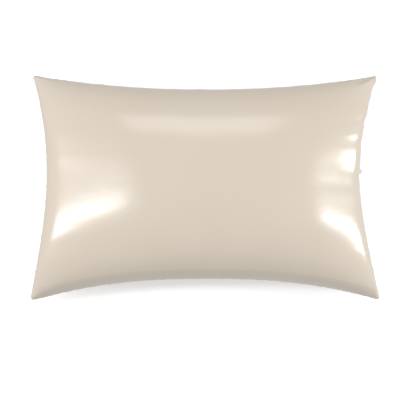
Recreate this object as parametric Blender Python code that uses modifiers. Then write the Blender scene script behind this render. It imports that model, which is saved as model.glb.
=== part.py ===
"""Satin pillowcase with a hidden zip, filled with its pillow and lying on its back.

Metres, +Z up. X runs along the case's length, Y across it, and the origin is under the middle of
the case, on the surface it lies on. Two panels meet in a seam all round. The zip is in the seam at
the +X end. It is drawn open from its slider towards the back corner, and the pillow shows there.

Every layer of cloth is the same filled form at its own depth below the outer face, worked out by
form_point() from two sheet coordinates: along (-1 at the left end, 1 at the zip end) and across
(-1 at the front edge, 1 at the back edge).
"""

import math
from collections import namedtuple

import bmesh
import bpy
import numpy as np
from mathutils import Matrix, Vector

# ---------------------------------------------------------------- driving dimensions
SEAM_HEIGHT = 0.090  # the seam's height along the middle of each edge
CROWN = 0.115  # how far each face swells from the seam's level
CROWN_POWER = 3.0  # how full the swell is: 2 is an ellipse, and more is flatter on top
DROOP_POWER = 4.5  # how late along an edge the seam starts to fall to its corner
FLOOR_BLEND = 0.010  # height over which the underside turns into its flat rest

PANEL_THICKNESS = 0.0012
TAPE_DEPTH = 0.0016
TAPE_THICKNESS = 0.0008
PILLOW_DEPTH = 0.0030
LAYER_FADE = 0.0040  # height above the seam over which the layers come to their full depths
SEAM_GAP = 0.0005  # clearance between the two panels, and between the two tapes

CORNER_POINT = 0.3  # how pointed the corners are: 0 is round, and 1 is sharp
CORNER_BUNCH = 1.8  # how much further in the layers stop at the corners, where the cloth bunches
CORNER_REACH = 10  # how close to the corners that is
Corner = namedtuple("Corner", "x y droop along_blunt across_blunt")
FRONT_LEFT = Corner(x=-0.3690, y=-0.2410, droop=0.036, along_blunt=0.016, across_blunt=0.024)
FRONT_RIGHT = Corner(x=0.3690, y=-0.2390, droop=0.034, along_blunt=0.014, across_blunt=0.024)
BACK_LEFT = Corner(x=-0.3680, y=0.2420, droop=0.034, along_blunt=0.016, across_blunt=0.012)
BACK_RIGHT = Corner(x=0.3670, y=0.2410, droop=0.036, along_blunt=0.016, across_blunt=0.012)

# Each edge bows inwards by depth at its waist, whose place is a share of the edge's length. The
# powers say how round the bow is on either side of the waist.
Edge = namedtuple("Edge", "depth waist first_power second_power")
FRONT_EDGE = Edge(depth=0.0450, waist=0.50, first_power=2.35, second_power=2.35)
BACK_EDGE = Edge(depth=0.0400, waist=0.50, first_power=2.35, second_power=2.35)
LEFT_EDGE = Edge(depth=0.0370, waist=0.53, first_power=1.80, second_power=2.10)
RIGHT_EDGE = Edge(depth=0.0470, waist=0.58, first_power=1.90, second_power=1.80)

# The zip's opening, by distances across the case. Gaps are measured up or down from the seam.
ZIP_START = -0.196
ZIP_END = 0.203
SLIDER_PLACE = 0.030
OPENING_START = SLIDER_PLACE - 0.0090  # the panels part just before the slider
Gap = namedtuple("Gap", "width run")
FRONT_GAP = Gap(width=0.032, run=0.030)  # the front panel's edge pulls well away
BACK_GAP = Gap(width=0.012, run=0.012)  # the back panel's edge stays nearly straight
CLOSING_POWER = 4
LIP_LIFT = 0.0055  # how far the front panel's loose edge stands off
PILLOW_RECESS = 0.0050  # how far the pillow sits back behind the opening
TAPE_COVERED = 0.045  # the tape's width under its panel, as sheet coordinate
TAPE_RIM = 0.016  # the tape's last stretch before its panel's edge, as sheet coordinate
TAPE_SHOWN = 0.013  # the tape's width past the panel's edge, as sheet coordinate
LIP_REACH = 0.45  # where the panels begin to shift for the opening, as sheet coordinate

# The slider, its ring and its pull
SLIDER_LENGTH = 0.0090
SLIDER_WIDTH = 0.0062
SLIDER_THICKNESS = 0.0030
SLIDER_SUNK = 0.0002
BRIDGE_WIRE = 0.0012
BRIDGE_HEIGHT = 0.0031
BRIDGE_SPAN = 0.0072
RING_RADIUS = 0.0022
RING_WIRE = 0.0009
CLEARANCE = 0.0005
PULL_LENGTH = 0.0270
PULL_WIDTH = 0.0060
PULL_NECK = 0.0042
PULL_THICKNESS = 0.0012
PULL_HOLE = 0.0025

# Grid lines, as shares of the half sheet before they are packed towards the edges
ALONG_STEPS = 20
ACROSS_STEPS = 22
FAN_START = 0.865  # sheet coordinate across where the lines begin to fan out, past the zip
FAN_SPREAD = 0.39  # how far they fan
SLIDER_LINES = (-0.0090, -0.0045, 0.0045, 0.0180)  # extra lines about the slider, in metres

SATIN = dict(colour=(0.67, 0.58, 0.47, 1.0), roughness=0.38, metallic=0.0)
COTTON = dict(colour=(0.86, 0.86, 0.90, 1.0), roughness=0.85, metallic=0.0)
TAPE_CLOTH = dict(colour=(0.80, 0.77, 0.68, 1.0), roughness=0.75, metallic=0.0)
NICKEL = dict(colour=(0.55, 0.54, 0.53, 1.0), roughness=0.30, metallic=1.0)
ENAMEL = dict(colour=(0.84, 0.83, 0.88, 1.0), roughness=0.35, metallic=0.0)


# ---------------------------------------------------------------- outline of the seam
def bow(edge, share):
    """How far an edge bows inwards at a share of its length: depth at the waist, 0 at the corners."""
    before = np.clip((edge.waist - share) / edge.waist, 0, 1)
    after = np.clip((share - edge.waist) / (1 - edge.waist), 0, 1)
    return edge.depth * (1 - before**edge.first_power - after**edge.second_power)


def edge_line(start, end, edge, inward, share):
    """Points of one bowed edge, from corner start to corner end, before its corners are rounded."""
    straight = np.outer(1 - share, (start.x, start.y)) + np.outer(share, (end.x, end.y))
    return straight + np.outer(bow(edge, share), inward)


def corner_direction(start, end, edge, inward, at_end):
    """Unit vector along an edge's chord and bow, leaving the corner at its start or its end."""
    near, far = (1.0, 0.97) if at_end else (0.0, 0.03)
    a, b = edge_line(start, end, edge, inward, np.array([near, far]))
    return (b - a) / np.linalg.norm(b - a)


# name: first corner, last corner, the edge's bow, the way inwards, the corners' blunt this way
EDGES = {
    "front": (FRONT_LEFT, FRONT_RIGHT, FRONT_EDGE, (0, 1), "along_blunt"),
    "back": (BACK_LEFT, BACK_RIGHT, BACK_EDGE, (0, -1), "along_blunt"),
    "left": (FRONT_LEFT, BACK_LEFT, LEFT_EDGE, (1, 0), "across_blunt"),
    "right": (FRONT_RIGHT, BACK_RIGHT, RIGHT_EDGE, (-1, 0), "across_blunt"),
}
# For each edge, the edge that it meets at its first corner and at its last, and whether that
# corner is the other edge's last
NEIGHBOURS = {
    "front": (("left", False), ("right", False)),
    "back": (("left", True), ("right", True)),
    "left": (("front", False), ("back", False)),
    "right": (("front", True), ("back", True)),
}


def rounded_edge(name, share):
    """Points (x, y) of one edge at shares from 0 to 1, with its corners rounded.

    A corner is a quadratic Bezier curve whose control point is the sharp tip, blended with that tip
    by CORNER_POINT. Each edge draws the half next to it, so that the two end in the same point.
    """
    start, end, edge, inward, blunt = EDGES[name]
    length = math.hypot(end.x - start.x, end.y - start.y)
    moved = np.array(share, float)
    pushes = np.zeros((len(moved), 2))
    for corner, at_end, (other, other_at_end) in (
        (start, False, NEIGHBOURS[name][0]),
        (end, True, NEIGHBOURS[name][1]),
    ):
        reach = getattr(corner, blunt)
        from_tip = (1 - share if at_end else share) * length
        kept = np.where(from_tip < reach, reach / 4 + from_tip * 3 / 4, from_tip)
        turn = np.clip(1 - np.sqrt(kept / reach), 0, 1)
        moved = moved + (1 - CORNER_POINT) * (kept - from_tip) / length * (-1 if at_end else 1)
        o_start, o_end, o_edge, o_inward, o_blunt = EDGES[other]
        leave = corner_direction(o_start, o_end, o_edge, o_inward, other_at_end)
        pushes += np.outer((1 - CORNER_POINT) * turn**2 * getattr(corner, o_blunt), leave)
    return edge_line(start, end, edge, inward, moved) + pushes


def outline(along, across):
    """Plan position (x, y) for arrays of sheet coordinates: a Coons patch between the four edges."""
    s, t = (along.ravel() + 1) / 2, (across.ravel() + 1) / 2
    front, back = rounded_edge("front", s), rounded_edge("back", s)
    left, right = rounded_edge("left", t), rounded_edge("right", t)
    ends = {k: rounded_edge(k, np.array([0.0, 1.0])) for k in ("front", "back")}
    s, t = s[:, None], t[:, None]
    ruled = (1 - t) * front + t * back + (1 - s) * left + s * right
    corners = (1 - t) * ((1 - s) * ends["front"][0] + s * ends["front"][1])
    corners = corners + t * ((1 - s) * ends["back"][0] + s * ends["back"][1])
    return (ruled - corners).reshape(*along.shape, 2)


def middle_of_outline():
    """Centre of the outline's box, and half its waist's length and width."""
    share = np.linspace(0, 1, 801)
    points = np.vstack([rounded_edge(name, share) for name in EDGES])
    centre = (points.min(0) + points.max(0)) / 2
    waist = outline(np.array([-1.0, 1.0, 0.0, 0.0]), np.array([0.0, 0.0, -1.0, 1.0]))
    return centre, (waist[1, 0] - waist[0, 0]) / 2, (waist[3, 1] - waist[2, 1]) / 2


CENTRE, HALF_WAIST_X, HALF_WAIST_Y = middle_of_outline()


# ---------------------------------------------------------------- the filled form
def pack_to_edges(share):
    """Spreads even steps from -1 to 1 so that they crowd towards the edges, where cloth turns over."""
    return np.sin(share * math.pi / 2)


def seam_level(along, across):
    """Height of the surface that the seam lies in: level, and drooping to nearly level corners."""
    fall = np.zeros_like(along)
    for corner, sx, sy in (
        (FRONT_LEFT, -1, -1),
        (FRONT_RIGHT, 1, -1),
        (BACK_LEFT, -1, 1),
        (BACK_RIGHT, 1, 1),
    ):
        fall = fall + corner.droop * (1 + sx * along) / 2 * (1 + sy * across) / 2
    near = np.abs(along * across) ** DROOP_POWER
    return SEAM_HEIGHT - fall * near * (2 - near)


def swell(along, across):
    """Share of the crown, from 0 at the seam to 1 in the middle, with an upright wall at the seam."""
    along_part = np.clip(1 - np.abs(along) ** CROWN_POWER, 0, None)
    across_part = np.clip(1 - np.abs(across) ** CROWN_POWER, 0, None)
    return np.sqrt(along_part * across_part)


def rest_on_floor(height):
    """Height with everything below 0 flattened to 0, and a parabola over FLOOR_BLEND between."""
    blended = (height + FLOOR_BLEND) ** 2 / (4 * FLOOR_BLEND)
    low = np.where(height < -FLOOR_BLEND, 0.0, blended)
    return np.where(height > FLOOR_BLEND, height, low)


def opening(place, gap):
    """How far one panel's edge has parted from the seam, for distances across the case.

    It opens quickly from OPENING_START, and closes again at ZIP_END.
    """
    run = np.clip(place - OPENING_START, 0, ZIP_END - OPENING_START)
    close = 1 - (run / (ZIP_END - OPENING_START)) ** CLOSING_POWER
    return gap.width * (1 - np.exp(-run / gap.run)) * close


def near_zip(share):
    """0 over most of the case and 1 at the zip's end: how much of a shift a point there takes."""
    t = np.clip((share - LIP_REACH) / (0.9 - LIP_REACH), 0, 1)
    return t * t * (3 - 2 * t)


def place_across(across):
    """Distance across the case, in metres, of the zip's end at a sheet coordinate."""
    return rounded_edge("right", (np.ravel(across) + 1) / 2)[:, 1].reshape(np.shape(across))


def wall_rate():
    """Metres of upright wall for each unit of packed sheet coordinate next to the seam."""
    return CROWN * math.sqrt(CROWN_POWER * math.pi**2 / 8)


def form_point(share, across, depth, face, gap=None, lift=0.0):
    """World positions on the filled form.

    share: sheet coordinate along the case before pack_to_edges; across: after it.
    depth: metres below the outer face. face: 1 for the front panel's side, which is on top, and
    -1 for the underside. gap: the Gap that the points shift by near the zip, or None.
    lift: metres that the form stands off at the opening, and below 0 where it sits back.
    """
    parted = opening(place_across(across), gap or FRONT_GAP)
    shifted = share - near_zip(share) * parted / wall_rate() if gap else share
    along = pack_to_edges(np.clip(shifted, -1, 1))
    plan = outline(along, across) - CENTRE
    bunched = 1 + CORNER_BUNCH * np.abs(along * across)[..., None] ** CORNER_REACH
    plan = plan * (1 - depth * bunched / np.array([HALF_WAIST_X, HALF_WAIST_Y]))
    x = plan[..., 0] + lift * near_zip(share) ** 4 * parted / FRONT_GAP.width
    height = CROWN * swell(along, across)
    below = depth * (1 - np.exp(-height / LAYER_FADE))
    seam = seam_level(along, across) + face * SEAM_GAP / 2
    z = seam + height - below if face > 0 else rest_on_floor(seam - height) + below
    return np.stack([x, plan[..., 1], z], axis=-1)


def along_lines():
    """Sheet coordinates of the grid lines along the case, with two for the zip's tapes."""
    lines = np.linspace(-1, 1, ALONG_STEPS + 1)
    return np.union1d(lines, [1 - TAPE_COVERED, 1 - TAPE_RIM])


def sheet_grid(lines, rows):
    """Grids of share and across where lines and rows cross, with the lines fanned at the corners.

    Lines that crowd at the zip spread out past its ends, so that no face at a corner is a sliver.
    """
    share, across = np.meshgrid(lines, rows, indexing="ij")
    past = np.clip((np.abs(across) - FAN_START) / (1 - FAN_START), 0, 1) ** 2
    fanned = 1 - np.clip(1 - share, 0, 1) ** (1 - FAN_SPREAD * past)
    return np.where(share > 0, fanned, share), across


def across_lines():
    """Sheet coordinates of the grid lines across the case, with more about the slider."""
    lines = pack_to_edges(np.linspace(-1, 1, ACROSS_STEPS + 1) * 0.999)
    lines = 0.8 * lines + 0.2 * np.linspace(-1, 1, ACROSS_STEPS + 1)
    half = np.interp([ZIP_START, ZIP_END, *(SLIDER_PLACE + np.array(SLIDER_LINES))],
                     place_across(np.linspace(-1, 1, 401)), np.linspace(-1, 1, 401))
    lines[0], lines[-1] = -1, 1
    kept = [v for v in lines if abs(v) == 1 or np.min(np.abs(half - v)) > 0.02]
    return np.sort(np.concatenate([kept, half])), half[0], half[1]


# ---------------------------------------------------------------- from grids to solids
def fill_grid(mesh, points):
    """Adds a grid of faces to a bmesh with its vertices at points[i, j]; returns them by (i, j).

    Every quarter of a grid is cut along the diagonals that lead to its corner, so that layers of
    cloth with the same lines never cross.
    """
    columns, rows = points.shape[0] - 1, points.shape[1] - 1
    made = bmesh.ops.create_grid(mesh, x_segments=columns, y_segments=rows, size=1.0)["verts"]
    placed = {}
    for vertex in made:
        i = round((vertex.co.x + 1) / 2 * columns)
        j = round((vertex.co.y + 1) / 2 * rows)
        placed[i, j] = vertex
    for i in range(columns):
        for j in range(rows):
            quad = set(placed[i, j].link_faces) & set(placed[i + 1, j + 1].link_faces)
            rising = (2 * i + 1 - columns) * (2 * j + 1 - rows) >= 0
            ends = ((i, j), (i + 1, j + 1)) if rising else ((i + 1, j), (i, j + 1))
            bmesh.utils.face_split(quad.pop(), placed[ends[0]], placed[ends[1]])
    for place, vertex in placed.items():
        vertex.co = Vector(points[place])
    return placed


def join_rims(mesh, outer, inner, columns, rows):
    """Closes the rim between two grids that lie one over the other."""
    loop = [(i, 0) for i in range(columns)] + [(columns, j) for j in range(rows)]
    loop += [(i, rows) for i in range(columns, 0, -1)] + [(0, j) for j in range(rows, 0, -1)]
    for here, there in zip(loop, loop[1:] + loop[:1]):
        mesh.faces.new((outer[here], outer[there], inner[there]))
        mesh.faces.new((outer[here], inner[there], inner[here]))


def add_object(name, mesh, finish, collection):
    """Turns a bmesh into a named object with its material."""
    data = bpy.data.meshes.new(name)
    bmesh.ops.recalc_face_normals(mesh, faces=mesh.faces)
    if mesh.calc_volume(signed=True) < 0:
        bmesh.ops.reverse_faces(mesh, faces=mesh.faces)
    mesh.to_mesh(data)
    mesh.free()
    placed = bpy.data.objects.new(name, data)
    collection.objects.link(placed)
    data.materials.append(finish)
    return placed


def add_sheet(name, outer, inner, finish, collection):
    """A sheet of cloth between two grids of points, closed all round its rim."""
    mesh = bmesh.new()
    columns, rows = outer.shape[0] - 1, outer.shape[1] - 1
    join_rims(mesh, fill_grid(mesh, outer), fill_grid(mesh, inner), columns, rows)
    sheet = add_object(name, mesh, finish, collection)
    sheet.data.shade_smooth()
    return sheet


def add_filled(name, upper, lower, finish, collection):
    """One closed solid from two grids of points that share their rim."""
    mesh = bmesh.new()
    fill_grid(mesh, upper)
    fill_grid(mesh, lower)
    bmesh.ops.remove_doubles(mesh, verts=mesh.verts, dist=0.00001)
    filled = add_object(name, mesh, finish, collection)
    filled.data.shade_smooth()
    return filled


def material(name, colour, roughness, metallic):
    """A Principled BSDF material."""
    made = bpy.data.materials.new(name)
    made.use_nodes = True
    shader = made.node_tree.nodes["Principled BSDF"]
    shader.inputs["Base Color"].default_value = colour
    shader.inputs["Roughness"].default_value = roughness
    shader.inputs["Metallic"].default_value = metallic
    return made


# ---------------------------------------------------------------- the pieces
def make_panel(name, face, gap, lift, finish, collection):
    """One of the two satin panels, from the left seam to the zip or the seam at the right."""
    lines, (rows, _, _) = along_lines(), across_lines()
    share, across = sheet_grid(lines, rows)
    outer = form_point(share, across, 0.0, face, gap, lift)
    inner = form_point(share, across, PANEL_THICKNESS, face, gap, lift)
    return add_sheet(name, outer, inner, finish, collection)


def make_tape(name, face, gap, lift, finish, collection):
    """One of the zip's two tapes, sewn under its panel's edge and showing past it where it is open."""
    rows, first, last = across_lines()
    rows = rows[(rows >= first) & (rows <= last)]
    edges = np.array([1 - TAPE_COVERED, 1 - TAPE_RIM, 1.0])
    share, across = sheet_grid(edges, rows)
    parted = opening(place_across(rows), gap) / wall_rate()
    share[-1] += np.minimum(parted, TAPE_SHOWN)
    outer = form_point(share, across, TAPE_DEPTH, face, gap, lift)
    inner = form_point(share, across, TAPE_DEPTH + TAPE_THICKNESS, face, gap, lift)
    return add_sheet(name, outer, inner, finish, collection)


def make_pillow(finish, collection):
    """The pillow inside, one filled solid, which sits back a little behind the zip's opening."""
    lines, (rows, _, _) = along_lines(), across_lines()
    share, across = sheet_grid(lines, rows)
    upper, lower = (
        form_point(share, across, PILLOW_DEPTH, face, None, -PILLOW_RECESS) for face in (1, -1)
    )
    upper[..., 2] -= SEAM_GAP / 2
    lower[..., 2] += np.where(lower[..., 2] > PILLOW_DEPTH + FLOOR_BLEND, SEAM_GAP / 2, 0)
    return add_filled("pillow_insert", upper, lower, finish, collection)


def seam_at_slider():
    """World position of the seam where the slider is."""
    rows = np.linspace(-1, 1, 801)
    across = np.interp([SLIDER_PLACE], place_across(rows), rows)
    return Vector(form_point(np.ones(1), across, 0.0, 1)[0])


def merge_tools(target, tools):
    """Joins solids into target with exact Boolean unions, and removes the tools."""
    for tool in tools:
        join = target.modifiers.new("join", "BOOLEAN")
        join.operation = "UNION"
        join.object = tool
        graph = bpy.context.evaluated_depsgraph_get()
        joined = bpy.data.meshes.new_from_object(target.evaluated_get(graph))
        target.modifiers.clear()
        target.data = joined
        bpy.data.objects.remove(tool)


def mesh_from_curve(name, curve, collection):
    """Turns a curve object into a closed mesh object and removes the curve."""
    graph = bpy.context.evaluated_depsgraph_get()
    data = bpy.data.meshes.new_from_object(curve.evaluated_get(graph))
    mesh = bmesh.new()
    mesh.from_mesh(data)
    bmesh.ops.remove_doubles(mesh, verts=mesh.verts, dist=0.00001)
    bmesh.ops.recalc_face_normals(mesh, faces=mesh.faces)
    mesh.to_mesh(data)
    mesh.free()
    made = bpy.data.objects.new(name, data)
    made.matrix_world = curve.matrix_world
    collection.objects.link(made)
    bpy.data.objects.remove(curve)
    return made


def make_slider(seam, finish, collection):
    """The zip's slider: a rounded body between the panels' edges, with a bridge over its face."""
    mesh = bmesh.new()
    bmesh.ops.create_cube(mesh, size=1.0)
    body = add_object("zip_slider", mesh, finish, collection)
    size = Matrix.Diagonal((SLIDER_THICKNESS, SLIDER_LENGTH, SLIDER_WIDTH, 1.0))
    middle = seam + Vector((SLIDER_THICKNESS / 2 - SLIDER_SUNK, 0, 0))
    body.data.transform(size)
    body.location = middle
    bevel = body.modifiers.new("rounded", "BEVEL")
    bevel.width = SLIDER_THICKNESS * 0.3
    bevel.segments = 3
    bpy.context.view_layer.update()

    face = SLIDER_THICKNESS / 2
    half = BRIDGE_SPAN / 2
    line = bpy.data.curves.new("bridge", "CURVE")
    line.dimensions = "3D"
    line.bevel_depth = BRIDGE_WIRE / 2
    line.bevel_resolution = 2
    line.use_fill_caps = True
    spline = line.splines.new("POLY")
    turns = np.linspace(0, math.pi, 13)
    arch = [(face + BRIDGE_HEIGHT * math.sin(a) ** 0.5, -half * math.cos(a), 0) for a in turns]
    feet = [(face - 0.0006, -half, 0), (face - 0.0006, half, 0)]
    path = [feet[0], *arch, feet[1]]
    spline.points.add(len(path) - 1)
    for point, place in zip(spline.points, path):
        point.co = (*place, 1)
    curve = bpy.data.objects.new("bridge", line)
    curve.location = middle
    collection.objects.link(curve)
    bpy.context.view_layer.update()
    merge_tools(body, [mesh_from_curve("bridge_solid", curve, collection)])
    return middle + Vector((face + BRIDGE_HEIGHT, 0, 0))


def make_ring(bar, finish, collection):
    """The small ring that hangs on the slider's bridge; returns its lowest wire's centre."""
    drop = RING_RADIUS - RING_WIRE / 2 - BRIDGE_WIRE / 2 - CLEARANCE
    centre = bar - Vector((0, 0, drop))
    bpy.ops.mesh.primitive_torus_add(
        major_radius=RING_RADIUS, minor_radius=RING_WIRE / 2,
        major_segments=24, minor_segments=8,
        location=centre, rotation=(math.pi / 2, 0, 0),
    )
    ring = bpy.context.object
    ring.name = ring.data.name = "zip_ring"
    for owner in list(ring.users_collection):
        owner.objects.unlink(ring)
    collection.objects.link(ring)
    ring.data.materials.append(finish)
    return centre - Vector((0, 0, RING_RADIUS))


def pull_outline():
    """Outline of the drop-shaped pull as (across, down) points, from its eye round its tip."""
    down = np.linspace(0, 1, 13)
    neck = PULL_NECK / 2
    belly = (PULL_WIDTH / 2 - neck * 0.55) * np.sin(down * math.pi) ** 1.5 + neck * 0.55 * (1 - down**3)
    side = [(w, -neck - d * (PULL_LENGTH - neck)) for w, d in zip(belly, down)][1:]
    eye = [(neck * math.cos(a), neck * math.sin(a)) for a in np.linspace(math.pi, 0, 13)]
    eye_low = [(neck * 0.9, -neck * 0.5)]
    tip = side[-1]
    right = [*eye_low, *side[:-1]]
    return [*eye, *right, (0.0, tip[1])] + [(-w, d) for w, d in reversed(right)]


def make_pull(wire, finish, collection):
    """The drop-shaped pull: a flat plate with a hole, hanging from the ring's lowest wire."""
    hole_centre = wire - Vector((0, 0, PULL_HOLE / 2 - RING_WIRE / 2 - CLEARANCE))
    plate = bpy.data.curves.new("pull", "CURVE")
    plate.dimensions = "2D"
    plate.fill_mode = "BOTH"
    plate.extrude = PULL_THICKNESS / 2
    round_hole = [
        (PULL_HOLE / 2 * math.cos(a), PULL_HOLE / 2 * math.sin(a))
        for a in np.linspace(0, 2 * math.pi, 17)[:-1]
    ]
    for points in (pull_outline(), round_hole):
        spline = plate.splines.new("POLY")
        spline.use_cyclic_u = True
        spline.points.add(len(points) - 1)
        for point, (across, down) in zip(spline.points, points):
            point.co = (across, down, 0, 1)
    curve = bpy.data.objects.new("pull", plate)
    curve.location = hole_centre
    curve.rotation_euler = (math.pi / 2, 0, math.pi / 2)
    collection.objects.link(curve)
    bpy.context.view_layer.update()
    pull = mesh_from_curve("zip_pull", curve, collection)
    pull.data.materials.clear()
    pull.data.materials.append(finish)
    return pull


def main():
    """Builds the pillowcase, its pillow and its zip in one collection."""
    for old in list(bpy.data.objects):
        bpy.data.objects.remove(old)
    pieces = bpy.data.collections.new("pillowcase")
    bpy.context.scene.collection.children.link(pieces)

    satin = material("satin", **SATIN)
    make_panel("front_panel", 1, FRONT_GAP, LIP_LIFT, satin, pieces)
    make_panel("back_panel", -1, BACK_GAP, 0.0, satin, pieces)
    make_pillow(material("cotton", **COTTON), pieces)

    tape = material("tape_cloth", **TAPE_CLOTH)
    make_tape("zip_tape_front", 1, FRONT_GAP, LIP_LIFT, tape, pieces)
    make_tape("zip_tape_back", -1, BACK_GAP, 0.0, tape, pieces)

    nickel = material("nickel", **NICKEL)
    bar = make_slider(seam_at_slider(), nickel, pieces)
    wire = make_ring(bar, nickel, pieces)
    make_pull(wire, material("enamel", **ENAMEL), pieces)


main()
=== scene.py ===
"""The finished look of a satin pillowcase, filled with its pillow and lying on its back.

Two satin panels meet in a seam all round, and a hidden zip in the seam at the +X end stands half
open, so that the white pillow shows between its tapes. Every layer of cloth is the same filled
form at its own depth. The folds differ between the two faces, so layers cross a little at the
corners' tips and beside the zip.
"""

import logging
import math
from collections.abc import Mapping, Sequence
from dataclasses import dataclass, field
from enum import Enum

import bpy
import numpy as np
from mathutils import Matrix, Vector


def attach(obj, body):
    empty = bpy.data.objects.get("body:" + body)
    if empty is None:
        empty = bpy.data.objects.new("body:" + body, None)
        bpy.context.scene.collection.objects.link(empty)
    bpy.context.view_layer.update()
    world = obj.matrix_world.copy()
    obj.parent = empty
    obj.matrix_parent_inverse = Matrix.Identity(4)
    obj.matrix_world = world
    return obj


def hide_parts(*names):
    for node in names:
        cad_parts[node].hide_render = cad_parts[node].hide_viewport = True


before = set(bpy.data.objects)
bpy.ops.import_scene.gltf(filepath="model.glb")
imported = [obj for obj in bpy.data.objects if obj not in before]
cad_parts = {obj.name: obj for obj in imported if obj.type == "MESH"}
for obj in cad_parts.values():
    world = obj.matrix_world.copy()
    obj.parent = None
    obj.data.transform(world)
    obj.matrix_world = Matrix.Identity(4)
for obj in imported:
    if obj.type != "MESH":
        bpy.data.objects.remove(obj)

Array = np.ndarray
Rgb = tuple[float, float, float]
LOG = logging.getLogger("pillowcase")
CLOTH_UV = "cloth"
SEAM_DISTANCE = "seam_distance"


# ------------------------------------------------------------------ the filled form
class Face(Enum):
    """Which panel's side of the form a layer lies on."""

    FRONT = 1
    BACK = -1


class Side(Enum):
    """One of the outline's four edges."""

    FRONT = "front"
    BACK = "back"
    LEFT = "left"
    RIGHT = "right"


@dataclass(frozen=True)
class Corner:
    """A corner's sharp tip in plan, how far its seam droops and how far it is blunted each way."""

    x: float
    y: float
    droop: float
    along_blunt: float
    across_blunt: float


@dataclass(frozen=True)
class Bow:
    """How an edge bows inwards: its depth, its waist's place and the powers on either side."""

    depth: float
    waist: float
    first_power: float
    second_power: float

    def inward(self, share: Array) -> Array:
        """Bow at a share of the edge: depth * (1 - before**first_power - after**second_power).

        Args:
            share: places along the edge, from 0 to 1.

        Returns:
            Distances inwards, in metres.
        """
        before = np.clip((self.waist - share) / self.waist, 0, 1)
        after = np.clip((share - self.waist) / (1 - self.waist), 0, 1)
        return self.depth * (1 - before**self.first_power - after**self.second_power)


@dataclass(frozen=True)
class Span:
    """One edge of the outline between two corners, and what it meets at each of them."""

    start: Corner
    end: Corner
    bow: Bow
    inward: tuple[float, float]
    blunt: str
    meets: tuple[tuple[Side, bool], tuple[Side, bool]]

    def line(self, share: Array) -> Array:
        """Points (x, y) of the edge before its corners are rounded: the chord plus the bow."""
        chord = np.outer(1 - share, (self.start.x, self.start.y))
        chord = chord + np.outer(share, (self.end.x, self.end.y))
        return chord + np.outer(self.bow.inward(share), self.inward)

    def leaving(self, at_end: bool) -> Array:
        """Unit vector along the edge, away from its start or its end."""
        near, far = (1.0, 0.97) if at_end else (0.0, 0.03)
        a, b = self.line(np.array([near, far]))
        return (b - a) / np.linalg.norm(b - a)


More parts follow.
